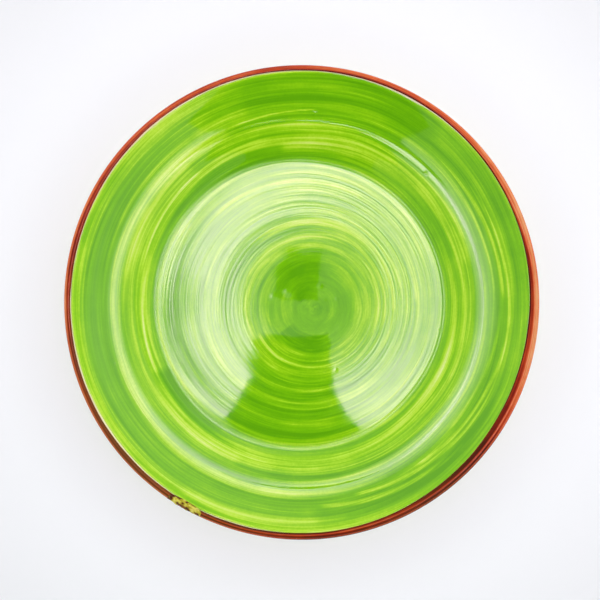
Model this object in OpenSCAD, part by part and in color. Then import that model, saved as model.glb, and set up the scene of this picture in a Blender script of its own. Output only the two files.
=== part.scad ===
/* [Plate] */
// Diameter over the lip
plate_d = 250; // [200:1:320]
// Thickness of the floor at its centre, glaze and paint included
floor_t = 5.2; // [4:0.1:8]
// Thickness of the wall just inside the lip, glaze and paint included
lip_t = 4.8; // [4:0.1:6]

/* [Foot ring] */
// Outer diameter of the foot ring
foot_d = 156; // [130:1:160]
// Width of the foot ring, inner wall to outer wall
foot_w = 6.5; // [4:0.1:10]
// Depth of the hollow inside the foot ring
foot_h = 4.3; // [2:0.1:6]
// Rounding of the foot ring's two lower edges
foot_edge_r = 1.2; // [0.5:0.1:1.8]

/* [Glaze and paint] */
// Thickness of the cream ground glaze
ground_t = 0.5; // [0.3:0.05:0.8]
// Thickness of a painted coat of coloured glaze
coat_t = 0.3; // [0.2:0.05:0.4]
// Diameter where the centre coat meets the well coat
centre_coat_d = 52; // [30:1:80]
// Diameter where the well coat meets the cove coat
well_coat_d = 152; // [130:1:156]
// Diameter where the cove coat meets the flange coat
cove_coat_d = 196; // [180:1:200]
// Width of the bare cream line between the flange coat and the rim line
cream_w = 0.7; // [0.4:0.1:1.2]
// Width of the dark rim line on the face, inside the lip's rounding
rim_line_w = 0.7; // [0.4:0.1:1.2]

/* [Olive fleck] */
// Direction of the fleck's middle, anticlockwise from +X
fleck_at = 240; // [0:1:359]
// Length of the fleck along the lip, as an angle
fleck_sweep = 9; // [3:0.5:15]
// Height of the fleck above the rim band's surface
fleck_proud = 0.4; // [0.1:0.05:0.5]

/* [Hidden] */
$fn = 180;
plate_r = plate_d / 2;
lip_r = lip_t / 2;

// Slope of the face, as [share of the plate's radius, degrees]: an almost flat well,
// a steep cove round it, a flatter shoulder, and a flange that rises to the lip.
face_slopes = [
    [0, 0],
    [0.22, 0.8],
    [0.61, 3.2],
    [0.63, 14],
    [0.675, 26],
    [0.73, 14],
    [0.78, 9],
    [0.825, 13],
    [0.90, 18],
    [0.973, 24],
];
lip_slope = face_slopes[len(face_slopes) - 1][1];

// Height from back to face outside the foot ring, as [share of the radius, share of the lip's own].
wall_shares = [
    [0.62, 1.31],
    [0.675, 1.34],
    [0.78, 1.22],
    [0.825, 1.15],
    [0.90, 1.05],
    [0.973, 1],
];
upright_lip_t = lip_t / cos(lip_slope);

// Radii where one part of the section ends and the next begins
foot_r = foot_d / 2;
foot_in_r = foot_r - foot_w;
face_end_r = plate_r - lip_r * (1 + sin(lip_slope));
back_end_r = 0.955 * plate_r;
rim_line_r = face_end_r - rim_line_w;
flange_coat_r = rim_line_r - cream_w;

// Directions on the lip's round section, anticlockwise from outwards
lip_face_turn = 90 + lip_slope;
rim_line_turn = 96;
glaze_seam_turn = -20;
band_end_turn = -60;
lip_back_turn = lip_slope - 90;

// Spacing of the points along the section
face_step = 2.4;
turn_step = 11;

// Bare line left between the back's glaze and the foot ring
glaze_stop_w = 1;
glaze_stop_r = foot_r + glaze_stop_w;

floor_z = foot_h + floor_t;
glaze_t = ground_t + coat_t;

// Gradient of the face at radius r, straight between the knots of face_slopes
function gradient(r) = lookup(r / plate_r, [for (k = face_slopes) [k[0], tan(k[1])]]);

// How far the face has risen from the centre to radius r
function rise(r, i = 0) =
    i >= len(face_slopes) - 1 || r <= face_slopes[i][0] * plate_r ? 0 :
    let (a = face_slopes[i][0] * plate_r)
    let (b = min(r, face_slopes[i + 1][0] * plate_r))
    (b - a) * (gradient(a) + gradient(b)) / 2 + rise(r, i + 1);

function face_z(r) = floor_z + rise(r);
function back_z(r) = face_z(r) - upright_lip_t * lookup(r / plate_r, wall_shares);

lip_z = face_z(face_end_r) - lip_r * cos(lip_slope);

// Each of these gives points on the plate's outer skin, as [r, z, outward normal's r, its z]
function face_point(r) = let (s = atan(gradient(r))) [r, face_z(r), -sin(s), cos(s)];
function lip_point(turn) = [
    plate_r - lip_r + lip_r * cos(turn),
    lip_z + lip_r * sin(turn),
    cos(turn),
    sin(turn),
];
function back_point(r) =
    let (s = atan((back_z(r + 0.5) - back_z(r - 0.5))))
    [r, back_z(r), sin(s), -cos(s)];

function steps(a, b, step) = let (n = max(1, round(abs(b - a) / step))) [for (i = [0:n]) a + (b - a) * i / n];
function face_span(r0, r1) = [for (r = steps(r0, r1, face_step)) face_point(r)];
function lip_span(turn0, turn1) = [for (turn = steps(turn0, turn1, turn_step)) lip_point(turn)];
function back_span(r0, r1) = [for (r = steps(r0, r1, face_step)) back_point(r)];

// The skin's stretches, from the centre of the face over the lip to the foot ring.
// A coat, the ground under it and the clay share these points, so they meet face to face.
centre_span = face_span(0, centre_coat_d / 2);
well_span = face_span(centre_coat_d / 2, well_coat_d / 2);
cove_span = face_span(well_coat_d / 2, cove_coat_d / 2);
flange_span = face_span(cove_coat_d / 2, flange_coat_r);
cream_span = face_span(flange_coat_r, rim_line_r);
rim_line_span = concat(
    face_span(rim_line_r, face_end_r),
    tail(lip_span(lip_face_turn, rim_line_turn))
);
rim_top_span = lip_span(rim_line_turn, glaze_seam_turn);
rim_under_span = lip_span(glaze_seam_turn, band_end_turn);
rim_span = concat(rim_top_span, tail(rim_under_span));
lip_end_span = lip_span(band_end_turn, lip_back_turn);
back_skin_span = concat(lip_end_span, back_span(back_end_r, glaze_stop_r));
face_ground_span = concat(
    centre_span, tail(well_span), tail(cove_span), tail(flange_span),
    tail(cream_span), tail(rim_line_span), tail(rim_top_span)
);
back_ground_span = concat(rim_under_span, tail(back_skin_span));

function tail(list) = [for (i = [1:1:len(list) - 1]) list[i]];
function reversed(list) = [for (i = [len(list) - 1:-1:0]) list[i]];

// The skin's points moved straight into the plate by a depth; a point on the axis stays on it
function at_depth(span, depth) = [
    for (p = span) [p[0] == 0 ? 0 : p[0] - depth * p[2], p[1] - depth * p[3]]
];

// A layer of the skin between two depths
module layer_section(span, top, bottom) {
    polygon(concat(at_depth(span, top), reversed(at_depth(span, bottom))));
}

module layer(span, top, bottom) {
    rotate_extrude() layer_section(span, top, bottom);
}

// The fired clay, everywhere one coat and one ground under the skin
module clay_body() {
    color("#c98f6b") rotate_extrude() polygon(concat(
        at_depth(face_ground_span, glaze_t),
        at_depth(tail(back_ground_span), glaze_t),
        [
            [foot_r, back_z(glaze_stop_r) + glaze_t],
            [foot_r, foot_h + ground_t],
            [0, foot_h + ground_t],
        ]
    ));
}

// Bare turned clay that the plate stands on, with its lower edges rounded
module foot_ring() {
    top_z = foot_h + ground_t;
    color("#b9714c") rotate_extrude() polygon(concat(
        [[foot_in_r, top_z], [foot_in_r, foot_edge_r]],
        [for (turn = [200:20:260]) [
            foot_in_r + foot_edge_r * (1 + cos(turn)),
            foot_edge_r * (1 + sin(turn)),
        ]],
        [[foot_in_r + foot_edge_r, 0], [foot_r - foot_edge_r, 0]],
        [for (turn = [280:20:340]) [
            foot_r - foot_edge_r * (1 - cos(turn)),
            foot_edge_r * (1 + sin(turn)),
        ]],
        [[foot_r, foot_edge_r], [foot_r, top_z]]
    ));
}

module face_ground() {
    color("#eef0d6") layer(face_ground_span, coat_t, glaze_t);
}

module back_ground() {
    color("#efeedd") layer(back_ground_span, coat_t, glaze_t);
}

// Glaze pooled on the underside, inside the foot ring
module foot_well_ground() {
    color("#efeedd") translate([0, 0, foot_h]) cylinder(r = foot_in_r, h = ground_t);
}

module centre_coat() {
    color("#7ac42a") layer(centre_span, 0, coat_t);
}

module well_coat() {
    color("#a8d94a") layer(well_span, 0, coat_t);
}

module cove_coat() {
    color("#6fbf1f") layer(cove_span, 0, coat_t);
}

module flange_coat() {
    color("#72bb14") layer(flange_span, 0, coat_t);
}

// The brushed edge line just inside the lip
module rim_line() {
    color("#5a1d18") layer(rim_line_span, 0, coat_t);
}

// Iron red over the lip, open for the fleck
module rim_band() {
    color("#a8392a")
        rotate([0, 0, fleck_at + fleck_sweep / 2])
        rotate_extrude(angle = 360 - fleck_sweep)
        layer_section(rim_span, 0, coat_t);
}

// A bead of olive glaze that has run over the lip
module rim_fleck() {
    color("#a9a533")
        rotate([0, 0, fleck_at - fleck_sweep / 2])
        rotate_extrude(angle = fleck_sweep)
        layer_section(rim_span, -fleck_proud, coat_t);
}

clay_body();
foot_ring();
face_ground();
back_ground();
foot_well_ground();
centre_coat();
well_coat();
cove_coat();
flange_coat();
rim_line();
rim_band();
rim_fleck();
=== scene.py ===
"""A hand painted earthenware plate: its clay, glaze and brushwork, built on the CAD model's section.

Lengths are in millimetres until a mesh is made. An angle is measured anticlockwise from +X.
"""

import math

import bpy
import numpy as np
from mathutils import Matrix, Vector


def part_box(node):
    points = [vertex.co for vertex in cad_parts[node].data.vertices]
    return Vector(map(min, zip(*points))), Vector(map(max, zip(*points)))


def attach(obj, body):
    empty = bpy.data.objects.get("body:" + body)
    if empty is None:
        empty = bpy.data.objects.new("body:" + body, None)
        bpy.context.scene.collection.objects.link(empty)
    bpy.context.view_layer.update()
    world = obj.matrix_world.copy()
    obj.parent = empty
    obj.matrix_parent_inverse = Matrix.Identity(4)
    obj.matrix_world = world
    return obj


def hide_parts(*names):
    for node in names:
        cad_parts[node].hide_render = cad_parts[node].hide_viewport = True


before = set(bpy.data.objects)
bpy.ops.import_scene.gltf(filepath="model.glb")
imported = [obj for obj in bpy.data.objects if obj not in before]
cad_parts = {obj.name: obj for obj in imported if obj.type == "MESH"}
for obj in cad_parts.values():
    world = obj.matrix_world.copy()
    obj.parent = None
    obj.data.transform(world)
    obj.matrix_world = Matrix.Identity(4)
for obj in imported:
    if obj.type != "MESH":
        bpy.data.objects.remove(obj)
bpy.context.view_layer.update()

MM = 0.001

# Points in a full turn round the plate, and rings over a layer's hidden inner side
COLUMNS = 720
INNER_RINGS = 5

# ---------------------------------------------------------------- the section

# Slope of the face, as (share of the plate's radius, degrees): the same curve as the CAD model's
FACE_SLOPES = (
    (0.0, 0.0),
    (0.22, 0.8),
    (0.61, 3.2),
    (0.63, 14.0),
    (0.675, 26.0),
    (0.73, 14.0),
    (0.78, 9.0),
    (0.825, 13.0),
    (0.90, 18.0),
    (0.973, 24.0),
)

# Height from back to face outside the foot ring, as (share of the radius, share of the lip's own)
WALL_SHARES = (
    (0.62, 1.31),
    (0.675, 1.34),
    (0.78, 1.22),
    (0.825, 1.15),
    (0.90, 1.05),
    (0.973, 1.0),
)

# Thickness of the cream ground and of a painted coat, and the radius and slope of the lip
GROUND_T = 0.5
COAT_T = 0.3
GLAZE_T = GROUND_T + COAT_T
LIP_R = 2.4
LIP_SLOPE = FACE_SLOPES[-1][1]

# Rounding of the foot ring's lower edges, and the bare line between the ring and the back's glaze
FOOT_EDGE_R = 1.2
GLAZE_STOP_W = 1

# Directions on the lip's round section, up from outwards: the seam of face and back glaze, the band's end
GLAZE_SEAM_TURN = -20
BAND_END_TURN = -60


def size(node, axis):
    """A CAD node's size along an axis, in millimetres."""
    low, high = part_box(node)
    return (high[axis] - low[axis]) / MM


def low_z(node):
    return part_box(node)[0].z / MM


def high_z(node):
    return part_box(node)[1].z / MM


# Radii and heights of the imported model, and those worked out from them
PLATE_R = min(size("rim_band", 0), size("rim_band", 1)) / 2
FLOOR_Z = low_z("centre_coat") + COAT_T
FOOT_R = size("foot_ring", 0) / 2
FOOT_IN_R = size("foot_well_ground", 0) / 2
FOOT_TOP = high_z("foot_ring")
FOOT_H = low_z("foot_well_ground")
CENTRE_R = size("centre_coat", 0) / 2
WELL_R = size("well_coat", 0) / 2
COVE_R = size("cove_coat", 0) / 2
FLANGE_R = size("flange_coat", 0) / 2
FACE_END_R = PLATE_R - LIP_R * (1 + math.sin(math.radians(LIP_SLOPE)))
GLAZE_STOP_R = FOOT_R + GLAZE_STOP_W


def smooth(low, high, x):
    """0 below low, 1 above high, with an even ease between."""
    t = np.clip((x - low) / (high - low), 0, 1)
    return t * t * (3 - 2 * t)


def bell(x, middle, width):
    """1 at the middle, falling to a hundredth one width away."""
    return np.exp(-4.6 * ((x - middle) / width) ** 2)


def softened(values, step, spread):
    """A curve's values averaged over a bell of the given spread, which leaves straight runs alone."""
    reach = int(4 * spread / step)
    kernel = np.exp(-0.5 * (np.arange(-reach, reach + 1) * step / spread) ** 2)
    padded = np.pad(values, reach, mode="reflect", reflect_type="odd")
    return np.convolve(padded, kernel / kernel.sum(), mode="valid")


def make_section():
    """The skin from the face's centre over the lip to the back's glaze stop: length, r, z and normal."""
    step = 0.1
    r = np.linspace(0, FACE_END_R, int(FACE_END_R / step))
    shares, slopes = zip(*FACE_SLOPES)
    gradient = np.interp(r / PLATE_R, shares, np.tan(np.radians(slopes)))
    gradient = softened(gradient, r[1], 0.7)
    z = FLOOR_Z + np.concatenate(([0], np.cumsum((gradient[1:] + gradient[:-1]) / 2 * r[1])))

    lip_z = z[-1] - LIP_R * math.cos(math.radians(LIP_SLOPE))
    turn = np.radians(np.linspace(90 + LIP_SLOPE, LIP_SLOPE - 90, 90))
    lip_r = PLATE_R - LIP_R + LIP_R * np.cos(turn)
    lip_zs = lip_z + LIP_R * np.sin(turn)

    back_r = np.linspace(lip_r[-1], GLAZE_STOP_R, 400)
    steepest = math.tan(math.radians(LIP_SLOPE))
    over = np.interp(back_r, r, z) + np.maximum(back_r - FACE_END_R, 0) * steepest
    share, wall = zip(*WALL_SHARES)
    upright = 2 * LIP_R / math.cos(math.radians(LIP_SLOPE))
    back_z = over - upright * np.interp(back_r / PLATE_R, share, wall)

    rs = np.concatenate((r, lip_r[1:], back_r[1:]))
    zs = np.concatenate((z, lip_zs[1:], back_z[1:]))
    length = np.concatenate(([0], np.cumsum(np.hypot(np.diff(rs), np.diff(zs)))))
    even = np.linspace(0, length[-1], int(length[-1] / step))
    rs = np.interp(even, length, rs)
    zs = np.interp(even, length, zs)
    dr = softened(np.gradient(rs, even), even[1], 0.25)
    dz = softened(np.gradient(zs, even), even[1], 0.25)
    norm = np.hypot(dr, dz)
    return even, rs, zs, -dz / norm, dr / norm


SKIN_S, SKIN_R, SKIN_Z, SKIN_NR, SKIN_NZ = make_section()
LIP_TOP = int(np.argmax(SKIN_Z))
LIP_OUT = int(np.argmax(SKIN_R))


def face_s(r):
    """The length along the skin where the face reaches radius r."""
    return np.interp(r, SKIN_R[: LIP_OUT + 1], SKIN_S[: LIP_OUT + 1])


def lip_s(turn):
    """The length along the skin where the lip's round section faces a turn up from outwards."""
    facing = np.degrees(np.arctan2(SKIN_NZ, SKIN_NR))
    part = slice(LIP_TOP - 15, LIP_OUT + 45)
    return np.interp(-turn, -facing[part], SKIN_S[part])


# ---------------------------------------------------------------- noise


def brush_noise(r, angle, across, along, seed):
    """Noise from -1 to 1 in streaks round the plate, across millimetres wide and along degrees long."""
    rng = np.random.default_rng(seed)
    cells = max(3, round(360 / along))
    rows = int(140 / across) + 4
    table = rng.uniform(-1, 1, (rows, cells))
    shift = rng.uniform(0, cells, rows)
    row = np.abs(r) / across
    k = np.floor(row).astype(int)
    f = smooth(0, 1, row - k)

    def along_row(k):
        c = (angle / (2 * np.pi) * cells + shift[k]) % cells
        i = np.floor(c).astype(int) % cells
        g = smooth(0, 1, c - np.floor(c))
        return table[k, i] * (1 - g) + table[k, (i + 1) % cells] * g

    return along_row(k) * (1 - f) + along_row(k + 1) * f


def wander(angle, cells, seed):
    """Smooth noise from -1 to 1 round the plate, with the given number of swings."""
    rng = np.random.default_rng(seed)
    table = rng.uniform(-1, 1, cells)
    c = (angle / (2 * np.pi) * cells) % cells
    i = np.floor(c).astype(int) % cells
    g = smooth(0, 1, c - np.floor(c))
    return table[i] * (1 - g) + table[(i + 1) % cells] * g


def turn_from(angle, degrees):
    """The signed turn in degrees from a direction, between -180 and 180."""
    return (np.degrees(angle) - degrees + 180) % 360 - 180


# ---------------------------------------------------------------- the shape made by hand

# Pits and bumps in the glaze: (direction, radius, height, spread), and the share of those heights
# that is left where the glaze has flowed over them
BLEMISH_SHARE = 0.3
BLEMISHES = (
    (86, 101.8, -0.16, 0.9),
    (46, 95.0, -0.12, 0.8),
    (198, 104.5, -0.12, 0.6),
    (266, 107.6, -0.10, 0.7),
    (212, 83.3, -0.14, 0.8),
    (349, 74.5, -0.08, 0.5),
    (41, 13.3, -0.05, 1.1),
    (6, 19.0, -0.05, 1.1),
    (8, 12.4, -0.04, 1.0),
    (297, 40.6, -0.05, 0.8),
    (275, 8.5, 0.04, 1.2),
    (98, 85.6, 0.14, 0.8),
    (118, 82.9, 0.16, 0.9),
    (122, 116.0, 0.14, 0.7),
    (136, 82.9, 0.14, 0.9),
    (33, 88.7, 0.13, 0.8),
    (104, 119.6, 0.12, 1.0),
    (144, 9.4, 0.09, 1.7),
    (168, 15.6, 0.06, 1.6),
    (334, 88.0, -0.10, 0.8),
)


def hand_shape(s, angle):
    """How far the skin stands off the drawn section: uneven lip, turning rings and blemishes."""
    r = np.interp(s, SKIN_S, SKIN_R)
    lip = smooth(95, 122, r)
    off = -lip * (0.10 + 0.10 * wander(angle, 7, 11))
    # Turning rings, broad and then fine, and lower in the well
    rings = 0.004 + 0.006 * smooth(74, 90, r)
    off = off + rings * brush_noise(r, angle, 6.5, 120, 12)
    off = off + 0.0014 * brush_noise(r, angle, 2.2, 60, 13) * smooth(2, 6, r)
    # The shoulder rises and sinks a little round the plate, and the cove is a little hollower than drawn
    off = off + 0.05 * wander(angle, 9, 14) * bell(r, 98, 16)
    off = off - 0.05 * (1 + wander(angle, 6, 15)) * bell(r, 80, 9)
    face = s < SKIN_S[LIP_TOP]
    for direction, radius, height, spread in BLEMISHES:
        sideways = np.radians(turn_from(angle, direction)) * radius
        reach = 2.1 * spread
        mark = bell(np.hypot(sideways, r - radius), 0, reach)
        off = off + np.where(face, BLEMISH_SHARE * height * mark, 0)
    return off


def shoulder_shift(s, r, angle):
    """How far the shoulder lies outside its drawn radius: the wheel threw it a little off centre."""
    face = 1 - smooth(SKIN_S[LIP_TOP] - 3, SKIN_S[LIP_TOP], s)
    sway = 2.4 * np.cos(angle - np.radians(205)) * bell(r, 92, 40)
    return (sway + 0.7 * wander(angle, 9, 16) * bell(r, 80, 18)) * face


def skin(s, angle, lift):
    """Points lifted off the skin, in millimetres."""
    r = np.interp(s, SKIN_S, SKIN_R)
    z = np.interp(s - shoulder_shift(s, r, angle), SKIN_S, SKIN_Z)
    nr = np.interp(s, SKIN_S, SKIN_NR)
    nz = np.interp(s, SKIN_S, SKIN_NZ)
    off = hand_shape(s, angle) + lift
    r = r + nr * off
    return np.stack((r * np.cos(angle), r * np.sin(angle), z + nz * off), axis=-1)


def skin_normals(s, angle, lift):
    """Normals of the lifted skin by differences, so that two pieces that meet shade as one."""
    h = 0.12
    r = np.maximum(np.interp(s, SKIN_S, SKIN_R), 0.5)
    turn = h / r
    low = np.maximum(s - h, 0)
    along = skin(s + h, angle, lift(s + h, angle)) - skin(low, angle, lift(low, angle))
    around = skin(s, angle + turn, lift(s, angle + turn)) - skin(s, angle - turn, lift(s, angle - turn))
    normal = np.cross(along, around)
    length = np.linalg.norm(normal, axis=-1, keepdims=True)
    return normal / np.maximum(length, 1e-12)


# ---------------------------------------------------------------- brushwork

# Where the swirl of the well turns: off the plate's middle, because the wheel ran off centre
SWIRL = (6.5, -2.8)

# Brush touches: (start, end, radius at the start, radius at the end, width, load)
# A positive load is thick, deep green paint; a negative one is thin and lets the cream ground through.
TOUCHES = (
    (142, 250, 74.5, 78.5, 4.6, -0.30),
    (95, 176, 83.2, 82.0, 4.4, 0.30),
    (15, 75, 83.5, 82.5, 3.5, 0.12),
    (204, 250, 83.0, 82.0, 9.0, 0.42),
    (55, 124, 100.0, 98.0, 8.0, 0.16),
    (50, 125, 112.0, 112.0, 16.0, 0.22),
    (272, 352, 112.5, 111.0, 9.0, 0.22),
    (238, 300, 79.0, 80.0, 6.0, 0.16),
    (120, 242, 107.5, 106.5, 9.0, 0.18),
    (255, 350, 99.0, 97.0, 9.0, -0.22),
    (168, 266, 84.6, 87.6, 1.4, -0.18),
    (246, 306, 90.5, 92.0, 6.0, 0.24),
    (258, 345, 91.0, 90.0, 8.0, 0.14),
    (20, 80, 112.0, 112.0, 18.0, 0.16),
    (250, 345, 107.5, 107.0, 8.0, -0.10),
    (172, 262, 90.3, 91.5, 1.4, -0.14),
    (146, 228, 97.0, 98.5, 8.0, -0.16),
    (274, 327, 108.0, 114.0, 2.2, -0.42),
    (284, 338, 105.0, 111.5, 1.8, -0.40),
    (304, 361, 105.5, 110.5, 1.8, -0.42),
    (318, 372, 102.5, 106.0, 1.8, -0.34),
    (0, 62, 106.5, 104.0, 1.8, -0.34),
    (352, 400, 110.0, 107.5, 1.6, -0.30),
    (10, 48, 101.5, 101.0, 1.0, -0.22),
    (84, 113, 102.5, 99.5, 0.9, -0.42),
    (104, 150, 110.0, 110.0, 20.0, -0.20),
    (164, 246, 118.8, 118.8, 4.0, -0.16),
    (236, 292, 116.0, 117.5, 5.0, -0.16),
    (128, 177, 92.0, 91.0, 8.0, -0.26),
    (12, 132, 90.5, 92.0, 7.0, -0.20),
    (126, 172, 88.0, 86.0, 1.0, -0.36),
    (112, 152, 97.5, 99.5, 4.5, -0.20),
    (196, 262, 101.0, 99.0, 3.0, -0.14),
    (178, 236, 93.0, 94.5, 6.0, 0.10),
    (20, 58, 92.5, 92.5, 1.3, -0.22),
    (330, 385, 88.5, 90.5, 1.4, -0.20),
)

# Brush touches in the well, on rings round the swirl's own middle
SWIRL_TOUCHES = (
    (215, 300, 19.0, 20.0, 9.0, 0.48),
    (232, 308, 60.0, 62.0, 30.0, 0.20),
    (205, 330, 32.5, 33.5, 2.2, -0.34),
    (200, 345, 29.5, 29.5, 0.8, -0.26),
    (215, 320, 46.0, 46.5, 1.6, -0.30),
    (190, 330, 49.0, 49.5, 1.0, 0.14),
    (220, 300, 57.0, 57.0, 1.4, -0.24),
    (230, 300, 63.5, 64.0, 2.0, -0.22),
    (225, 305, 72.0, 72.0, 3.6, 0.16),
    (355, 510, 46.0, 44.5, 3.0, -0.32),
    (0, 120, 59.0, 60.0, 2.4, -0.28),
    (340, 450, 39.5, 40.5, 2.6, -0.22),
    (20, 190, 51.5, 53.0, 1.0, 0.10),
    (60, 180, 65.0, 66.5, 2.0, -0.20),
    (300, 400, 54.0, 53.0, 1.6, -0.18),
    (130, 215, 35.5, 36.5, 1.6, -0.24),
    (95, 260, 24.5, 25.5, 1.0, -0.18),
    (300, 430, 25.5, 26.5, 1.0, -0.16),
)


def touch_marks(r, angle, touches):
    """The load that the brush touches add, ragged along their edges and dry at their ends."""
    load = np.zeros_like(r)
    bristles = brush_noise(r, angle, 0.7, 14, 21)
    for start, end, r0, r1, width, amount in touches:
        sweep = end - start
        along = (np.degrees(angle) - start) % 360
        t = np.clip(along / sweep, 0, 1)
        middle = r0 + (r1 - r0) * t + 0.25 * wander(angle, 16, int(start))
        across = np.abs(r - middle) / (width / 2)
        body = 1 - smooth(0.55, 1.35, across + 0.3 * bristles)
        ends = smooth(0, 4, along) * (1 - smooth(0.62, 1.0, along / sweep + 0.16 * bristles))
        load += amount * body * np.where(along < sweep, ends, 0)
    return load


def swirl_place(x, y):
    """Radius and angle round the swirl, which is off centre in the well and sways on the flange."""
    r = np.hypot(x, y)
    share = 1 - smooth(18, 80, r)
    qx = x - SWIRL[0] * share
    qy = y - SWIRL[1] * share
    swirl = np.arctan2(qy, qx)
    drift = smooth(72, 95, r) * (1.5 * wander(swirl, 5, 17) + 0.7 * wander(swirl, 16, 18))
    return np.hypot(qx, qy) + drift, swirl


def paint(points):
    """Pigment load, coolness and the streaks' own place, for points of the face."""
    x = points[..., 0]
    y = points[..., 1]
    r = np.hypot(x, y)
    angle = np.arctan2(y, x)
    q, swirl = swirl_place(x, y)
    sway = 0.5 * brush_noise(q, swirl, 16, 90, 31) + 0.2 * brush_noise(q, swirl, 5, 50, 32)
    q = q + smooth(12, 45, q) * sway

    # Bands, then finer and finer streaks of thin and thick paint, fainter towards the swirl's middle
    load = 0.68 + 0.12 * brush_noise(q, swirl, 9.0, 110, 33)
    load += 0.13 * brush_noise(q, swirl, 3.4, 80, 34)
    strength = 0.45 + 0.55 * smooth(14, 40, q)
    load -= 0.18 * strength * np.maximum(brush_noise(q, swirl, 1.7, 60, 35), 0) ** 1.6
    load += 0.18 * strength * np.maximum(brush_noise(q, swirl, 1.4, 50, 39), 0)
    load -= 0.16 * strength * np.maximum(brush_noise(q, swirl, 0.9, 36, 36), 0) ** 1.4
    # Thick paint where the brush touched down, and patches that show most outside the well
    load += (0.05 + 0.20 * bell(turn_from(angle, 105), 0, 120)) * (1 - smooth(20, 38, q))
    patches = 0.11 * brush_noise(r, angle, 7, 34, 41) + 0.09 * brush_noise(r, angle, 3, 22, 42)
    load += patches * (0.35 + 0.65 * smooth(70, 84, r))
    # A thin pass over the shoulder, and a thicker one in the cove except at the top
    north = bell(turn_from(angle, 90), 0, 85)
    load -= 0.27 * bell(r, 86, 16) + bell(r, 81, 8) * (0.26 * north - 0.19)
    # Slightly thinner paint on the flange and in the well
    load -= 0.05 * smooth(100, 106, r)
    load -= 0.04 * smooth(32, 42, q) * (1 - smooth(66, 80, q))
    load = np.maximum(load, 0.26)
    # Single brush touches, and a dry edge beside the rim line
    load += 0.6 * touch_marks(q, swirl, SWIRL_TOUCHES) * (1 - smooth(72, 80, r))
    load += 0.8 * touch_marks(r, angle, TOUCHES) * smooth(70, 78, r)
    load -= 0.3 * smooth(FLANGE_R - 1.6, FLANGE_R + 0.6, r) * (0.6 + 0.4 * wander(angle, 40, 37))

    # A cooler green at the left of the flange and at the lower left of the cove
    west = bell(turn_from(angle, 182), 0, 75)
    cool = west * smooth(96, 106, r) * (1 - smooth(111, 116, r))
    cool = np.maximum(cool, bell(turn_from(angle, 229), 0, 22) * bell(r, 82.5, 7))
    cool = cool * (0.75 + 0.25 * brush_noise(q, swirl, 2.2, 40, 38))

    place = np.stack((np.cos(swirl), np.sin(swirl), q / 10), axis=-1)
    return np.clip(load, 0, 1), np.clip(cool, 0, 1), place


def brush_relief(s, angle):
    """The low ridges that the brush leaves in the coat, in millimetres."""
    r = np.interp(s, SKIN_S, SKIN_R)
    q, swirl = swirl_place(r * np.cos(angle), r * np.sin(angle))
    ridges = 0.0010 * brush_noise(q, swirl, 1.7, 60, 35) + 0.0005 * brush_noise(q, swirl, 0.9, 36, 36)
    return ridges * smooth(22, 64, q)


# ---------------------------------------------------------------- meshes


def flat(height):
    """A lift that is the same everywhere."""
    return lambda s, angle: height


def new_object(name, points, faces, normals=None):
    """A mesh object from points in millimetres."""
    mesh = bpy.data.meshes.new(name)
    mesh.from_pydata((points * MM).tolist(), [], faces)
    mesh.validate()
    mesh.polygons.foreach_set("use_smooth", [True] * len(mesh.polygons))
    if normals is not None:
        mesh.normals_split_custom_set_from_vertices(normals.tolist())
    mesh.update()
    obj = bpy.data.objects.new(name, mesh)
    bpy.context.scene.collection.objects.link(obj)
    return obj


def grid_faces(rings, columns, closed_rings, closed_columns):
    """Quads over a grid of rings by columns, joined up where it closes."""
    faces = []
    for i in range(rings if closed_rings else rings - 1):
        a = i * columns
        b = (i + 1) % rings * columns
        for j in range(columns if closed_columns else columns - 1):
            k = (j + 1) % columns
            faces.append((a + j, b + j, b + k, a + k))
    return faces


def end_fans(rings, columns):
    """Triangles from the two points after the grid to its first ring and its last one."""
    faces = []
    last = (rings - 1) * columns
    for j in range(columns):
        k = (j + 1) % columns
        faces.append((rings * columns, j, k))
        faces.append((rings * columns + 1, last + k, last + j))
    return faces


def full_turn(columns=COLUMNS):
    """Even directions right round the plate."""
    return np.arange(columns) * 2 * np.pi / columns


def level_ring(r, z, columns):
    """Points round the plate at one radius and height."""
    angle = full_turn(columns)
    return np.stack((r * np.cos(angle), r * np.sin(angle), z + 0 * angle), axis=-1)


def layer_sides(outer_s, inner_s, lift, depth):
    """Points and normals of a layer's outer and inner side, each row a full turn round the plate."""
    angle = full_turn()
    outer_a = np.broadcast_to(angle, outer_s.shape)
    inner_a = np.broadcast_to(angle, inner_s.shape)
    points = np.concatenate((
        skin(outer_s, outer_a, lift(outer_s, outer_a)),
        skin(inner_s, inner_a, -depth),
    ))
    normals = np.concatenate((
        skin_normals(outer_s, outer_a, lift),
        -skin_normals(inner_s, inner_a, flat(-depth)),
    ))
    return points.reshape(-1, 3), normals.reshape(-1, 3)


def layer_ring(name, start, end, rings, lift, depth, inner_rings=INNER_RINGS):
    """A closed layer of the skin right round the plate, between two lengths along it.

    start and end are lengths along the skin at each column, lift gives its outer side's height over
    the skin, and depth is how far its inner side lies under the skin.
    """
    out = np.linspace(0, 1, rings)[:, None]
    back = np.linspace(1, 0, inner_rings)[:, None]
    outer_s = start + (end - start) * out + np.zeros(COLUMNS)
    inner_s = start + (end - start) * back + np.zeros(COLUMNS)
    points, normals = layer_sides(outer_s, inner_s, lift, depth)
    faces = grid_faces(rings + inner_rings, COLUMNS, True, True)
    return new_object(name, points, faces, normals)


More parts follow.
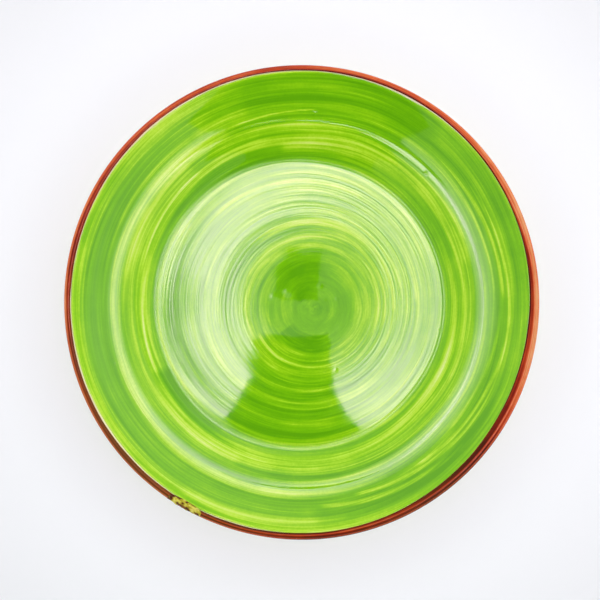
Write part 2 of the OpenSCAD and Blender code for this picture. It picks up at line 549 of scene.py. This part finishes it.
def layer_disc(name, end, rings, lift, depth):
    """A closed layer of the face from its centre out to a length along the skin."""
    out = np.linspace(0, 1, rings + 1)[1:, None]
    back = np.linspace(1, 0, INNER_RINGS + 1)[:-1, None]
    outer_s = end * out + np.zeros(COLUMNS)
    inner_s = end * back + np.zeros(COLUMNS)
    points, normals = layer_sides(outer_s, inner_s, lift, depth)
    zero = np.zeros(1)
    top = skin(zero, zero, lift(zero, zero))
    bottom = skin(zero, zero, -depth)
    total = rings + INNER_RINGS
    faces = grid_faces(total, COLUMNS, False, True) + end_fans(total, COLUMNS)
    points = np.concatenate((points, top, bottom))
    normals = np.concatenate((normals, ((0, 0, 1), (0, 0, -1))))
    return new_object(name, points, faces, normals)


def points_of(obj):
    """A mesh's points in millimetres."""
    points = np.zeros(len(obj.data.vertices) * 3)
    obj.data.vertices.foreach_get("co", points)
    return points.reshape(-1, 3) / MM


def store(obj, **values):
    """Stores a number or a vector for each point of the mesh, for the material to read."""
    for name, value in values.items():
        kind, field = ("FLOAT", "value") if value.ndim == 1 else ("FLOAT_VECTOR", "vector")
        attribute = obj.data.attributes.new(name, kind, "POINT")
        attribute.data.foreach_set(field, value.reshape(-1))


def add_paint(obj):
    """Stores the brushwork on the mesh, and how near a point is to the corner of well and cove."""
    points = points_of(obj)
    load, cool, place = paint(points)
    corner = bell(np.hypot(points[:, 0], points[:, 1]), WELL_R + 2.0, 4.0)
    store(obj, load=load, cool=cool, corner=corner, place=place)


# ---------------------------------------------------------------- materials


def grey(v):
    return v, v, v, 1.0


def rgb(red, green, blue):
    """A colour as a screen shows it, 0 to 255, turned into the light it sends back."""
    def light(v):
        v = v / 255
        return v / 12.92 if v <= 0.04045 else ((v + 0.055) / 1.055) ** 2.4
    return light(red), light(green), light(blue), 1.0


class Nodes:
    """A material's or the world's node tree, with short ways to add and join nodes."""

    def __init__(self, name, kind="materials"):
        self.material = getattr(bpy.data, kind).new(name)
        self.material.use_nodes = True
        self.tree = self.material.node_tree
        self.shader = self.tree.nodes.get("Principled BSDF")

    def add(self, kind, **settings):
        node = self.tree.nodes.new("ShaderNode" + kind)
        for key, value in settings.items():
            setattr(node, key, value)
        return node

    def put(self, socket, value):
        if isinstance(value, bpy.types.NodeSocket):
            self.tree.links.new(value, socket)
        else:
            socket.default_value = value

    def math(self, operation, a, b=0.0, c=0.0, clamp=False):
        node = self.add("Math", operation=operation, use_clamp=clamp)
        for socket, value in zip(node.inputs, (a, b, c)):
            self.put(socket, value)
        return node.outputs[0]

    def attribute(self, name, output="Fac"):
        return self.add("Attribute", attribute_name=name).outputs[output]

    def stirred(self, value, noise, amount, clamp=False):
        """A value with a share of some noise added, which swings round a half."""
        return self.math("MULTIPLY_ADD", self.math("SUBTRACT", noise, 0.5), amount, value, clamp)

    def stretched(self, vector, scale):
        node = self.add("VectorMath", operation="MULTIPLY")
        self.put(node.inputs[0], vector)
        node.inputs[1].default_value = scale
        return node.outputs[0]

    def noise(self, vector, scale=1.0, detail=2.0, roughness=0.5):
        node = self.add("TexNoise")
        self.put(node.inputs["Vector"], vector)
        node.inputs["Scale"].default_value = scale
        node.inputs["Detail"].default_value = detail
        node.inputs["Roughness"].default_value = roughness
        return node.outputs[0]

    def ramp(self, value, stops):
        node = self.add("ValToRGB")
        elements = node.color_ramp.elements
        while len(elements) < len(stops):
            elements.new(0.5)
        for element, (position, colour) in zip(elements, stops):
            element.position = position
            element.color = colour
        self.put(node.inputs[0], value)
        return node.outputs[0]

    def mix(self, factor, a, b):
        node = self.add("Mix", data_type="RGBA")
        self.put(node.inputs[0], factor)
        self.put(node.inputs[6], a)
        self.put(node.inputs[7], b)
        return node.outputs[2]

    def between(self, value, low, high, out_low=0.0, out_high=1.0):
        node = self.add("MapRange", interpolation_type="SMOOTHSTEP")
        for socket, number in zip(node.inputs, (value, low, high, out_low, out_high)):
            self.put(socket, number)
        return node.outputs[0]

    def bump(self, height, distance, strength):
        node = self.add("Bump")
        node.inputs["Distance"].default_value = distance
        self.put(node.inputs["Strength"], strength)
        self.put(node.inputs["Height"], height)
        return node.outputs[0]

    def split(self, vector):
        node = self.add("SeparateXYZ")
        self.put(node.inputs[0], vector)
        return node.outputs

    def object_place(self):
        return self.add("TexCoord").outputs["Object"]

    def finish(self, colour, roughness, normal=None):
        self.put(self.shader.inputs["Base Color"], colour)
        self.put(self.shader.inputs["Roughness"], roughness)
        if normal is not None:
            self.put(self.shader.inputs["Normal"], normal)
        return self.material


GLAZE_IOR = 1.5
RIM_IOR = 1.26
FLOOR_IOR = 1.12


def green_material():
    """Lime green glaze paint: thin strokes are pale and yellow, thick ones deep green, under a gloss."""
    n = Nodes("green_paint")
    n.shader.inputs["IOR"].default_value = GLAZE_IOR
    place = n.attribute("place", "Vector")
    load = n.attribute("load")
    cool = n.attribute("cool")
    broad = n.noise(n.stretched(place, (1.0, 1.0, 3.2)), detail=1.0)
    lines = n.noise(n.stretched(place, (1.5, 1.5, 8.0)), detail=2.0)
    hairs = n.noise(n.stretched(place, (2.6, 2.6, 19.0)), detail=2.0)
    from_swirl = n.split(place)[2]
    streaks = n.stirred(0.0, broad, 0.40)
    streaks = n.stirred(streaks, lines, 0.52)
    streaks = n.stirred(streaks, hairs, 0.55)
    load = n.math("MULTIPLY_ADD", streaks, n.between(from_swirl, 1.0, 4.0, 0.4, 1.0), load)
    blotches = n.noise(n.object_place(), scale=90, detail=4.0)
    load = n.stirred(load, blotches, 0.22)
    grain = n.noise(n.object_place(), scale=800, detail=3.0)
    load = n.stirred(load, grain, 0.16, clamp=True)
    colour = n.ramp(load, (
        (0.0, rgb(216, 236, 152)),
        (0.16, rgb(198, 230, 100)),
        (0.34, rgb(178, 224, 52)),
        (0.52, rgb(142, 205, 20)),
        (0.72, rgb(114, 188, 13)),
        (1.0, rgb(92, 166, 12)),
    ))
    blue = n.mix(0.7, colour, rgb(118, 186, 62))
    colour = n.mix(n.math("MULTIPLY", cool, 0.7), colour, blue)
    ridges = n.noise(n.stretched(place, (1.0, 1.0, 11.0)), detail=1.0)
    height = n.math("MULTIPLY_ADD", lines, 0.5, ridges)
    rough = n.between(n.noise(n.object_place(), scale=160, detail=3.0), 0.3, 0.7, 0.015, 0.035)
    rough = n.math("MULTIPLY_ADD", n.attribute("corner"), 0.16, rough)
    return n.finish(colour, rough, n.bump(height, 0.000006, n.between(from_swirl, 1.4, 5.4)))


def cream_material():
    """The cream ground glaze: glossy, faintly mottled, with iron specks."""
    n = Nodes("ground_glaze")
    n.shader.inputs["IOR"].default_value = GLAZE_IOR
    place = n.object_place()
    mottle = n.noise(place, scale=45, detail=4.0)
    colour = n.ramp(mottle, (
        (0.3, rgb(222, 214, 164)),
        (0.55, rgb(234, 228, 184)),
        (0.75, rgb(242, 238, 206)),
    ))
    specks = n.between(n.noise(place, scale=520, detail=1.0), 0.74, 0.79)
    colour = n.mix(n.math("MULTIPLY", specks, 0.55), colour, rgb(128, 92, 58))
    rough = n.between(n.noise(place, scale=120, detail=3.0), 0.3, 0.7, 0.05, 0.12)
    ripple = n.noise(place, scale=70, detail=2.0)
    return n.finish(colour, rough, n.bump(ripple, 0.0002, 0.4))


def clay_material(name, dark, light, grain_scale):
    """Bare earthenware: matt and sandy, with turning lines and grog."""
    n = Nodes(name)
    place = n.object_place()
    tone = n.noise(place, scale=60, detail=5.0, roughness=0.65)
    colour = n.mix(n.between(tone, 0.3, 0.7), dark, light)
    grog = n.between(n.noise(place, scale=grain_scale, detail=2.0), 0.62, 0.72)
    colour = n.mix(n.math("MULTIPLY", grog, 0.35), colour, rgb(228, 190, 150))
    turning = n.noise(n.stretched(place, (40, 40, 2600)), scale=1.0, detail=2.0)
    sand = n.noise(place, scale=grain_scale, detail=4.0)
    height = n.math("MULTIPLY_ADD", sand, 0.6, n.math("MULTIPLY", turning, 0.4))
    rough = n.between(sand, 0.3, 0.7, 0.72, 0.95)
    return n.finish(colour, rough, n.bump(height, 0.0003, 0.6))


def rim_material(name, stops, streak, roughness):
    """Paint brushed along the lip: streaky, in the colours that stops gives from thin to thick; on the red
    band the thin end also stands for a painted highlight.
    """
    n = Nodes(name)
    n.shader.inputs["IOR"].default_value = RIM_IOR
    load = n.attribute("load")
    place = n.attribute("place", "Vector")
    lines = n.noise(n.stretched(place, (3.0, 3.0, 22.0)), detail=2.0)
    blots = n.noise(n.object_place(), scale=130, detail=3.0)
    load = n.stirred(load, lines, streak)
    load = n.stirred(load, blots, streak * 0.6, clamp=True)
    colour = n.ramp(load, stops)
    brown = n.math("MULTIPLY", n.attribute("brown"), 0.52)
    colour = n.mix(brown, colour, rgb(120, 78, 14))
    rough = n.between(blots, 0.3, 0.7, roughness, roughness + 0.06)
    return n.finish(colour, rough, n.bump(lines, 0.00008, 0.5))


def floor_material():
    """A plain pale sheet with a faint paper grain, glowing a little as if lit from below, except under the
    plate. The glow is painted light: brightest just round the plate, where it fills in the plate's own
    shadow, and fainter further out.
    """
    n = Nodes("floor_paper")
    place = n.object_place()
    colour = n.mix(n.noise(place, scale=7, detail=3.0), rgb(219, 224, 228), rgb(221, 226, 230))
    grain = n.noise(place, scale=900, detail=2.0)
    distance = n.add("VectorMath", operation="LENGTH")
    n.put(distance.inputs[0], place)
    # Painted light: the glow is strongest just round the plate, where it fills in the plate's shadow, and
    # dim under it
    glow = n.ramp(distance.outputs["Value"], (
        (0.0, grey(0.04)),
        (0.08, grey(0.04)),
        (0.125, grey(0.31)),
        (0.16, grey(0.30)),
        (0.22, grey(0.16)),
        (0.27, grey(0.12)),
    ))
    n.put(n.shader.inputs["Emission Color"], colour)
    n.put(n.shader.inputs["Emission Strength"], glow)
    n.shader.inputs["IOR"].default_value = FLOOR_IOR
    return n.finish(colour, 0.9, n.bump(grain, 0.0002, 0.1))


# ---------------------------------------------------------------- the pieces


def finish_piece(obj, node, material):
    """Puts a piece in the part: its material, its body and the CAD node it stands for."""
    obj.data.materials.append(material)
    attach(obj, "root")
    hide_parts(node)


def flange_edge(angle):
    """Where the flange's green stops: a hand-held line, so the cream beyond it comes and goes."""
    east = bell(turn_from(angle, 320), 0, 85)
    wobble = 0.35 * wander(angle, 13, 41) + 0.22 * wander(angle, 46, 42) + 0.10 * wander(angle, 150, 43)
    wobble = wobble + 0.4 * bell(turn_from(angle, 90), 0, 80)
    return np.minimum(FLANGE_R + 0.42 + 0.35 * east + 0.8 * wobble, line_edge(angle) + 0.3)


def line_edge(angle):
    """Where the dark rim line starts: further in at the right, where the band is widest."""
    east = bell(turn_from(angle, 335), 0, 95)
    wobble = 0.20 * wander(angle, 9, 44) + 0.10 * wander(angle, 60, 45)
    north = bell(turn_from(angle, 90), 0, 80)
    return FACE_END_R - 0.35 - 2.2 * east + 0.30 * north + wobble


def rounded_down(away):
    """The drop of a rounded edge: 1 at the edge, where away is 0, and 0 where away is 1."""
    return 1 - np.sqrt(1 - (1 - away) ** 2)


def flange_end_s(angle):
    """The length along the skin where the flange's green stops."""
    return face_s(flange_edge(angle))


def flange_lift(s, angle):
    """The flange coat's outer side, rounded down over its last half millimetre."""
    away = np.clip((flange_end_s(angle) - s) / 0.5, 0, 1)
    return brush_relief(s, angle) - (COAT_T - 0.04) * rounded_down(away)


def make_green_coats():
    """The four painted coats, which meet without a step."""
    material = green_material()
    centre_s = face_s(CENTRE_R)
    well_s = face_s(WELL_R)
    cove_s = face_s(COVE_R)
    end_s = flange_end_s(full_turn())
    coats = (
        ("centre_coat", layer_disc("painted_centre", centre_s, 60, brush_relief, COAT_T)),
        ("well_coat", layer_ring("painted_well", centre_s, well_s, 112, brush_relief, COAT_T)),
        ("cove_coat", layer_ring("painted_cove", well_s, cove_s, 58, brush_relief, COAT_T)),
        ("flange_coat", layer_ring("painted_flange", cove_s, end_s, 62, flange_lift, COAT_T)),
    )
    for node, obj in coats:
        add_paint(obj)
        finish_piece(obj, node, material)


def back_stop(angle):
    """The length along the skin where the back's glaze stops, uneven round the foot ring."""
    return SKIN_S[-1] - 0.4 + 0.35 * wander(angle, 22, 51) + 0.15 * wander(angle, 90, 52)


def back_lift(s, angle):
    """The back glaze's outer side: wavy, flush at the lip, and rounded down where it stops."""
    away = np.clip((back_stop(angle) - s) / 0.6, 0, 1)
    r = np.interp(s, SKIN_S, SKIN_R)
    waves = 0.03 * brush_noise(r, angle, 5.5, 140, 53) + 0.012 * brush_noise(r, angle, 3, 25, 54)
    fade = smooth(0, 3, s - lip_s(BAND_END_TURN)) * away
    return -COAT_T + waves * fade - 0.4 * rounded_down(away)


def make_ground():
    """The cream ground, under the paint on the face and bare on the back and inside the foot ring."""
    material = cream_material()
    seam_s = lip_s(GLAZE_SEAM_TURN)
    face = layer_disc("face_glaze", seam_s, 120, flat(-COAT_T), GLAZE_T)
    finish_piece(face, "face_ground", material)
    end_s = np.minimum(back_stop(full_turn()), SKIN_S[-1])
    back = layer_ring("back_glaze", seam_s, end_s, 90, back_lift, GLAZE_T)
    finish_piece(back, "back_ground", material)
    make_foot_well(material)


def make_foot_well(material):
    """Glaze inside the foot ring, with the spiral that the turning tool left under it."""
    rings = 64
    hollow = FOOT_H + 0.08
    r = np.linspace(0, FOOT_IN_R, rings + 1)[1:, None] + np.zeros(COLUMNS)
    angle = np.broadcast_to(full_turn(), r.shape)
    spiral = 0.05 * np.cos(2 * np.pi * r / 6.0 - angle) * smooth(2, 10, r) * (1 - smooth(64, 70, r))
    pooled = 0.075 * smooth(FOOT_IN_R - 3.5, FOOT_IN_R, r)
    low = np.maximum(hollow + spiral - pooled + 0.02 * brush_noise(r, angle, 4, 40, 55), FOOT_H)
    outer = np.stack((r * np.cos(angle), r * np.sin(angle), low), axis=-1)
    upper = [level_ring(upper_r, FOOT_TOP, COLUMNS) for upper_r in (FOOT_IN_R, FOOT_IN_R * 0.5)]
    middles = ((0, 0, hollow), (0, 0, FOOT_TOP))
    points = np.concatenate((outer.reshape(-1, 3), *upper, middles))
    total = rings + len(upper)
    faces = grid_faces(total, COLUMNS, False, True) + end_fans(total, COLUMNS)
    obj = new_object("foot_well_glaze", points, [face[::-1] for face in faces])
    finish_piece(obj, "foot_well_ground", material)


def make_foot():
    """The bare foot ring: rounded edges, worn unevenly where it stands."""
    angle = full_turn()
    wear = 0.12 * (1 + wander(angle, 23, 61)) + 0.05 * (1 + wander(angle, 110, 62))
    inner, outer, edge = FOOT_IN_R, FOOT_R, FOOT_EDGE_R
    side_z = 2 * edge
    profile = [(inner, FOOT_TOP), (inner, side_z)]
    for turn in np.radians(np.linspace(180, 270, 7)):
        profile.append((inner + edge * (1 + math.cos(turn)), edge * (1 + math.sin(turn))))
    profile += [(inner + (outer - inner) * share, 0) for share in (0.35, 0.5, 0.65)]
    for turn in np.radians(np.linspace(270, 360, 7)):
        profile.append((outer - edge * (1 - math.cos(turn)), edge * (1 + math.sin(turn))))
    profile += [(outer, side_z), (outer, FOOT_TOP)]
    rings = []
    for r, z in profile:
        corner = bell(z, 0.35, 0.6) * (0.2 + 0.8 * smooth(0, 0.3, z))
        toward = 1 if r < (inner + outer) / 2 else -1
        rings.append(level_ring(r + toward * wear * corner, z + wear * corner * 0.5, COLUMNS))
    faces = grid_faces(len(profile), COLUMNS, True, True)
    obj = new_object("bare_foot", np.concatenate(rings), faces)
    material = clay_material("bare_foot_clay", rgb(158, 88, 56), rgb(206, 138, 98), 1500)
    finish_piece(obj, "foot_ring", material)


FLECK_AT = 240.0
FLECK_SWEEP = 9.0
FLECK_START = FLECK_AT - FLECK_SWEEP / 2
FLECK_END = FLECK_AT + FLECK_SWEEP / 2

# The rim's colours by load, thinnest first; on the fleck the load is lowest on its lumps
LINE_STOPS = (
    (0.0, rgb(186, 98, 38)),
    (0.3, rgb(138, 48, 13)),
    (0.6, rgb(95, 24, 6)),
    (1.0, rgb(56, 14, 2)),
)
# The band's pale salmon end serves both for thin paint and for the painted highlight on the lip
BAND_STOPS = (
    (0.0, rgb(218, 154, 104)),
    (0.25, rgb(207, 104, 51)),
    (0.5, rgb(178, 60, 23)),
    (0.75, rgb(122, 26, 8)),
    (1.0, rgb(63, 11, 4)),
)
FLECK_STOPS = (
    (0.0, rgb(208, 202, 90)),
    (0.30, rgb(176, 168, 40)),
    (0.50, rgb(140, 122, 22)),
    (0.64, rgb(84, 44, 10)),
    (0.78, rgb(78, 26, 8)),
    (1.0, rgb(166, 96, 34)),
)


def add_rim_paint(obj, load_at):
    """Stores the rim paint's load, which on the red band holds painted highlight too, how brown it is and
    its streaks' place.
    """
    points = points_of(obj)
    angle = np.arctan2(points[:, 1], points[:, 0])
    r = np.hypot(points[:, 0], points[:, 1])
    outer = smooth(PLATE_R - 1.3, PLATE_R - 0.5, r)
    brown = bell(turn_from(angle, 300), 0, 48) * (0.4 + 0.6 * outer)
    brown = np.maximum(brown, bell(turn_from(angle, 224), 0, 80))
    place = np.stack((np.cos(angle), np.sin(angle), (r - points[:, 2]) / 10), axis=-1)
    store(obj, load=np.clip(load_at(r, angle), 0, 1), brown=brown, place=place)


def line_width(angle):
    """How wide the dark line is before the band takes over."""
    return 0.8 + 0.4 * bell(turn_from(angle, 232), 0, 60) + 0.2 * wander(angle, 19, 46)


def line_load(angle):
    """How dark the line lies round the plate: darkest at the bottom and at the right."""
    load = 0.55 + 0.22 * wander(angle, 30, 48)
    return load + 0.2 * bell(turn_from(angle, 250), 0, 90) + 0.3 * bell(turn_from(angle, 350), 0, 70)


def line_start_s(angle):
    """The length along the skin where the dark line starts."""
    return face_s(line_edge(angle))


def line_end_s(angle):
    """The length along the skin where the dark line ends and the band takes over."""
    return line_start_s(angle) + line_width(angle)


def line_lift(s, angle):
    """The dark line's outer side: brushed, and rounded down where it starts."""
    away = np.clip((s - line_start_s(angle)) / 0.35, 0, 1)
    return 0.04 + 0.02 * brush_noise(s, angle, 0.5, 30, 47) - (COAT_T - 0.05) * rounded_down(away)


def band_lift(s, angle):
    """The low ridges that the brush leaves in the red band."""
    return 0.015 * brush_noise(s, angle, 0.6, 25, 49)


def make_rim():
    """The dark line, and the red band over the lip, open for the fleck."""
    turn = full_turn()
    line = layer_ring("dark_rim_line", line_start_s(turn), line_end_s(turn), 12, line_lift, COAT_T, 4)
    add_rim_paint(line, lambda r, angle: line_load(angle))
    finish_piece(line, "rim_line", rim_material("line_paint", LINE_STOPS, 0.7, 0.06))

    columns = round(COLUMNS * (1 - FLECK_SWEEP / 360))
    s, angle = lip_grid(FLECK_END, FLECK_START + 360, columns, line_end_s, 26)
    band = rim_patch("red_rim_band", s, angle, band_lift)
    add_rim_paint(band, band_load_and_painted_highlight)
    finish_piece(band, "rim_band", rim_material("rim_paint", BAND_STOPS, 0.5, 0.08))


def band_load_and_painted_highlight(r, angle):
    """How the red band's colour runs: salmon on its outer part at the right and top, partly thin paint and
    partly painted highlight, and dark maroon at the bottom, with thin pale lines at the left and bottom that
    are painted highlights.
    """
    width = 2.8
    t = (r - (PLATE_R - width)) / width
    # (direction, reach in degrees, load across the band: t is 1 at the plate's edge); its dips are painted
    # highlights
    side_loads_and_highlights = (
        (5, 60, 0.56 - 0.48 * smooth(-0.34, 0.04, t)),
        (90, 80, 0.64 - 0.18 * smooth(0.05, 0.35, t)),
        (182, 50, 0.80 - 0.32 * bell(t, 0.0, 0.22) - 0.56 * smooth(0.30, 0.62, t)),
        (232, 36, 0.94 - 0.50 * bell(t, 0.10, 0.18) - 0.72 * smooth(0.44, 0.70, t)),
        (300, 56, 0.86 - 0.48 * bell(t, -0.05, 0.30) - 0.50 * bell(t, 0.62, 0.16)),
    )
    load = 0
    total = 1e-6
    for direction, reach, across in side_loads_and_highlights:
        share = bell(turn_from(angle, direction), 0, reach)
        load = load + share * across
        total = total + share
    load = load / total
    return load + 0.10 * wander(angle, 34, 63) + 0.14 * brush_noise(t * 3 + 1, angle, 0.5, 40, 64)


def lip_grid(start, end, columns, top_s, rings):
    """Lengths along the skin and directions over a strip of the lip, from top_s to the band's end."""
    angle = np.radians(np.linspace(start, end, columns))
    share = np.linspace(0, 1, rings)[:, None]
    s = top_s(angle) + (lip_s(BAND_END_TURN) - top_s(angle)) * share
    return s, np.broadcast_to(angle, s.shape)


def rim_patch(name, s, angle, lift):
    """A closed strip of the lip's coat over a grid from lip_grid."""
    rings, columns = s.shape
    inner_s = s[::-1]
    outer = skin(s, angle, lift(s, angle))
    inner = skin(inner_s, angle, -COAT_T)
    points = np.concatenate((outer, inner)).reshape(-1, 3)
    normals = np.concatenate((skin_normals(s, angle, lift), -skin_normals(inner_s, angle, flat(-COAT_T))))
    total = 2 * rings
    faces = grid_faces(total, columns, True, False)
    for column, order in ((0, 1), (columns - 1, -1)):
        cap = [i * columns + column for i in range(total)]
        faces.append(tuple(cap[::order]))
    return new_object(name, points, faces, normals.reshape(-1, 3))


def fleck_middle(angle):
    """-1 at the fleck's start, 0 at its middle and 1 at its end."""
    return turn_from(angle, FLECK_AT) / (FLECK_SWEEP / 2)


def fleck_lumps(s, angle):
    """The bead's lumps from 0 to 1, dying away to a ragged edge."""
    across = (s - face_s(FACE_END_R - 0.9)) / 6.2
    ragged = 0.22 * brush_noise(s, angle, 1.6, 1.3, 71)
    inside = 1 - smooth(0.62, 0.98, np.hypot(fleck_middle(angle), 2.0 * across - 0.9) * 0.8 + ragged)
    lumps = 0.5 + 0.5 * brush_noise(s + 3, angle, 1.5, 1.0, 72) + 0.35 * brush_noise(s, angle, 0.7, 0.5, 73)
    return inside * np.clip(lumps, 0, 1.2)


def fleck_start_s(angle):
    """Where the bead starts: on the face at its middle, and at the band's edge at its two ends."""
    reach = 1 - np.clip(fleck_middle(angle) ** 2, 0, 1)
    edge_s = line_end_s(angle)
    return edge_s + (face_s(FACE_END_R - 1.2) - edge_s) * np.sqrt(reach)


def fleck_lift(s, angle):
    """The bead's outer side: its lumps on a thin sheet, a little higher where it lies on the dark line."""
    on_line = smooth(-0.2, 0.4, line_end_s(angle) - s)
    return 0.03 + 0.02 * on_line + 0.42 * fleck_lumps(s, angle)


def make_fleck():
    """A lumpy bead of olive glaze that has run over the lip and a little way on to the face.

    Between its lumps it shows the rim's own paint: dark on the face's side, thin and red outside.
    """
    s, angle = lip_grid(FLECK_START, FLECK_END, 150, fleck_start_s, 60)
    fleck = rim_patch("olive_fleck", s, angle, fleck_lift)
    outward = np.interp(s, SKIN_S, SKIN_R) - PLATE_R
    bare = 0.76 + 0.24 * smooth(-1.6, -0.8, outward)
    load = np.clip(bare * (1.0 - 1.15 * fleck_lumps(s, angle)), 0, 1)
    load = np.concatenate((load, load[::-1])).reshape(-1)
    store(fleck, load=load, brown=np.zeros_like(load), place=np.zeros((len(load), 3)))
    finish_piece(fleck, "rim_fleck", rim_material("olive_glaze", FLECK_STOPS, 0.25, 0.05))


def make_clay():
    """The fired clay under the glaze, bare only in a line beside the foot ring."""
    columns = 360
    s = np.linspace(0, SKIN_S[-1], 130)[1:, None] + np.zeros(columns)
    outer = skin(s, np.broadcast_to(full_turn(columns), s.shape), -GLAZE_T)
    under = ((FOOT_R, outer[-1, 0, 2]), (FOOT_R, FOOT_TOP), (FOOT_R * 0.6, FOOT_TOP), (9, FOOT_TOP))
    rings = [*outer, *(level_ring(r, z, columns) for r, z in under)]
    middles = ((0, 0, FLOOR_Z - GLAZE_T), (0, 0, FOOT_TOP))
    faces = grid_faces(len(rings), columns, False, True) + end_fans(len(rings), columns)
    obj = new_object("fired_clay", np.concatenate((*rings, middles)), faces)
    material = clay_material("body_clay", rgb(176, 110, 76), rgb(214, 156, 116), 1300)
    finish_piece(obj, "clay_body", material)


# ---------------------------------------------------------------- the studio

# From here on, lengths are in metres.
# The camera's height over the lip, the picture's width there, and the sensor's width in millimetres
CAMERA_RISE = 0.66
PICTURE_W = 0.3156
SENSOR_W = 36.0

# The overhead light: its height, radius and strength, and the length that its ramps' positions are shares of
LIGHT_Z = 1.15
LIGHT_R = 0.62
LIGHT_STRENGTH = 11.7
LIGHT_SCALE = 0.4

# Height of the dark shapes that hang under the light
FLAG_Z = 0.72


def make_camera():
    """Straight above the plate, whose middle lies a little right of and below the picture's."""
    data = bpy.data.cameras.new("camera")
    data.sensor_width = SENSOR_W
    data.lens = SENSOR_W * CAMERA_RISE / PICTURE_W
    camera = bpy.data.objects.new("camera", data)
    camera.location = (-0.0009, 0.0013, SKIN_Z[LIP_OUT] * MM + CAMERA_RISE)
    bpy.context.scene.collection.objects.link(camera)
    bpy.context.scene.camera = camera


def flat_shape(name, outline, height, material):
    """A flat stage piece from an outline in metres; it faces up where the outline runs anticlockwise."""
    mesh = bpy.data.meshes.new(name)
    mesh.from_pydata([(x, y, height) for x, y in outline], [], [tuple(range(len(outline)))])
    mesh.materials.append(material)
    obj = bpy.data.objects.new(name, mesh)
    bpy.context.scene.collection.objects.link(obj)


def light_material():
    """A glow in a bright ring round a dim middle, with a weaker surround and a dim spot at the left."""
    n = Nodes("light_cloth")
    across, up = n.split(n.object_place())[:2]

    def radius_from(x, y):
        dx = n.math("SUBTRACT", across, x)
        dy = n.math("SUBTRACT", up, y)
        return n.math("SQRT", n.math("MULTIPLY_ADD", dx, dx, n.math("MULTIPLY", dy, dy)))

    ring = n.ramp(n.math("DIVIDE", radius_from(0.008, 0.002), LIGHT_SCALE), (
        (0.0, grey(0.07)),
        (0.090, grey(0.08)),
        (0.122, grey(0.20)),
        (0.156, grey(0.84)),
        (0.170, grey(1.0)),
        (0.184, grey(0.82)),
        (0.206, grey(0.38)),
        (0.236, grey(0.0)),
    ))
    surround = n.ramp(n.math("DIVIDE", radius_from(0.004, 0.0), LIGHT_SCALE), (
        (0.0, grey(0.0)),
        (0.214, grey(0.0)),
        (0.228, grey(0.95)),
        (0.260, grey(0.90)),
        (0.280, grey(0.48)),
        (0.295, grey(0.36)),
        (0.320, grey(0.33)),
        (0.450, grey(0.20)),
        (0.620, grey(0.05)),
    ))
    ring = n.math("MULTIPLY", ring, n.between(across, -0.09, 0.11, 1.02, 0.92))
    ring = n.math("MULTIPLY", ring, n.between(across, 0.055, 0.085, 1.0, 0.6))
    surround = n.math("MULTIPLY", surround, n.between(across, -0.15, 0.15, 0.90, 1.35))
    surround = n.math("MULTIPLY", surround, n.between(up, -0.10, 0.10, 0.90, 1.25))
    past = n.math("ADD", across, 0.072)
    up_squared = n.math("MULTIPLY", up, n.math("MULTIPLY", up, 0.3))
    from_spot = n.math("SQRT", n.math("MULTIPLY_ADD", past, past, up_squared))
    glow = n.math("MULTIPLY", n.math("ADD", ring, surround), n.between(from_spot, 0.004, 0.016, 0.55, 1.0))
    emission = n.add("Emission")
    emission.inputs["Color"].default_value = (1.16, 0.86, 1.03, 1.0)
    n.put(emission.inputs["Strength"], n.math("MULTIPLY", glow, LIGHT_STRENGTH))
    output = n.tree.nodes["Material Output"]
    n.tree.links.new(emission.outputs[0], output.inputs["Surface"])
    return n.material


def make_studio():
    """A pale floor, and one round soft light overhead with a dark flag and a dark patch under it."""
    flat_shape("floor", [(-4, -4), (4, -4), (4, 4), (-4, 4)], 0.0, floor_material())
    rim = [(LIGHT_R * math.cos(turn), LIGHT_R * math.sin(turn)) for turn in full_turn(64)]
    flat_shape("round_light", rim[::-1], LIGHT_Z, light_material())

    black = Nodes("flag_cloth")
    black.finish(rgb(10, 10, 10), 0.9)
    flag = [
        (-0.034, -0.025), (-0.030, -0.047), (-0.038, -0.060), (-0.044, -0.070), (-0.145, -0.200),
        (-0.188, -0.353), (-0.310, -0.600), (0.205, -0.600), (0.137, -0.376), (0.125, -0.200),
        (0.034, -0.076), (0.027, -0.065), (0.021, -0.056), (0.020, -0.037), (0.022, -0.025),
    ]
    flat_shape("light_flag", flag, FLAG_Z, black.material)
    camera_back = [(-0.017, 0.001), (0.012, 0.0), (0.015, 0.034), (-0.008, 0.036), (-0.018, 0.022)]
    flat_shape("camera_back", camera_back, FLAG_Z, black.material)


def make_world():
    """A pale room, brightest a little above the horizon and towards a window at the plate's top right."""
    n = Nodes("room", "worlds")
    bpy.context.scene.world = n.material
    place = n.add("TexCoord").outputs["Generated"]
    height = n.ramp(n.split(place)[2], (
        (0.0, grey(0.48)),
        (0.07, grey(0.50)),
        (0.20, grey(0.95)),
        (0.48, grey(0.95)),
        (0.68, grey(0.24)),
        (1.0, grey(0.24)),
    ))
    toward = n.add("VectorMath", operation="DOT_PRODUCT")
    n.put(toward.inputs[0], place)
    toward.inputs[1].default_value = (0.45, 0.8, 0.0)
    side = n.math("MULTIPLY_ADD", toward.outputs["Value"], 0.24, 1.0)
    background = n.tree.nodes["Background"]
    background.inputs["Color"].default_value = (1.0, 1.02, 0.97, 1.0)
    n.put(background.inputs["Strength"], n.math("MULTIPLY", n.math("MULTIPLY", height, side), 2.0))


bpy.context.scene.view_settings.view_transform = "Standard"
make_camera()
make_world()
make_studio()
make_clay()
make_green_coats()
make_ground()
make_rim()
make_fleck()
make_foot()
